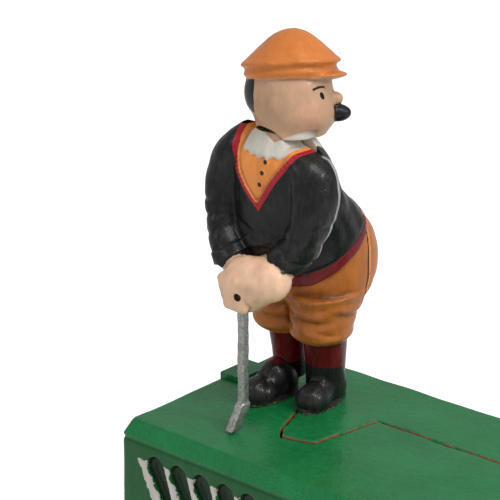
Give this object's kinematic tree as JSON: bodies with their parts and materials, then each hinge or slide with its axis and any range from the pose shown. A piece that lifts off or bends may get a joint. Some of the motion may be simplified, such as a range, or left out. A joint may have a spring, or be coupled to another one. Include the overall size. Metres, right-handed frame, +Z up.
{
  "type": "mechanical coin bank",
  "caption": "Cast iron mechanical coin bank: a golfer in cap and plus-fours putts a coin along a hollow green base into a cup when a trigger is pressed.",
  "frame": {"origin": "middle of the base's footprint, on the surface it stands on", "axes": "+X along the base from the golfer towards the cup, +Y towards the back of the base, +Z up"},
  "size_m": [0.216, 0.082, 0.166],
  "materials": {
    "base_green": "thick gloss green enamel over cast iron",
    "orange_paint": "satin orange enamel over cast iron",
    "flesh_paint": "satin flesh enamel over cast iron",
    "black_paint": "satin black enamel over cast iron",
    "red_paint": "satin dark red enamel",
    "white_paint": "satin white enamel",
    "bare_iron": "bare cast grey iron",
    "sheet_steel": "dull sheet steel",
    "steel": "plain steel"
  },
  "bodies": {
    "base": {"base_front": "base_green", "base_rear": "base_green", "bottom_plate": "sheet_steel", "plate_screws": "steel", "trap_rivet": "steel", "tie_screws": "steel", "tie_nuts": "steel", "foot_screws": "steel", "lever_pin": "steel", "lever_spring": "steel", "golfer_front": "orange_paint", "golfer_rear": "orange_paint", "body_screw": "steel", "head_casting": "flesh_paint", "head_stud": "steel", "flagstick": "white_paint", "flag": "red_paint", "flag_nut": "steel"},
    "trap": {"coin_trap": "sheet_steel"},
    "trigger": {"trigger_lever": "base_green"},
    "rod": {"push_rod": "steel"},
    "arms": {"arms_casting": "black_paint", "arm_pivot_pin": "steel", "pivot_clip": "steel", "crank_pin": "steel", "putter": "bare_iron", "putter_pin": "steel"}
  },
  "joints": [
    {"name": "lever_press", "type": "hinge", "parent": "base", "child": "trigger", "pos_m": [-0.08404, 0.012, 0.03], "axis": [0, -1, 0], "range_deg": [0, 8.44], "stiffness_Nm_per_rad": 0.036, "springref_deg": -20.05, "deforming": ["lever_spring"]},
    {"name": "rod_lift", "type": "slide", "parent": "base", "child": "rod", "axis": [0, 0, 1], "range_m": [0, 0.00236]},
    {"name": "arms_swing", "type": "hinge", "parent": "base", "child": "arms", "pos_m": [-0.077, 0.012, 0.126], "axis": [0, -1, 0], "range_deg": [0, 15]},
    {"name": "trap_turn", "type": "hinge", "parent": "base", "child": "trap", "pos_m": [0.039, 0, 0.003], "axis": [0, 0, 1], "range_deg": [0, 90]}
  ],
  "couplings": [
    {"joint": "rod_lift", "follows": "lever_press", "m_per_rad": 0.016},
    {"joint": "arms_swing", "follows": "lever_press", "ratio": 1.7778}
  ]
}
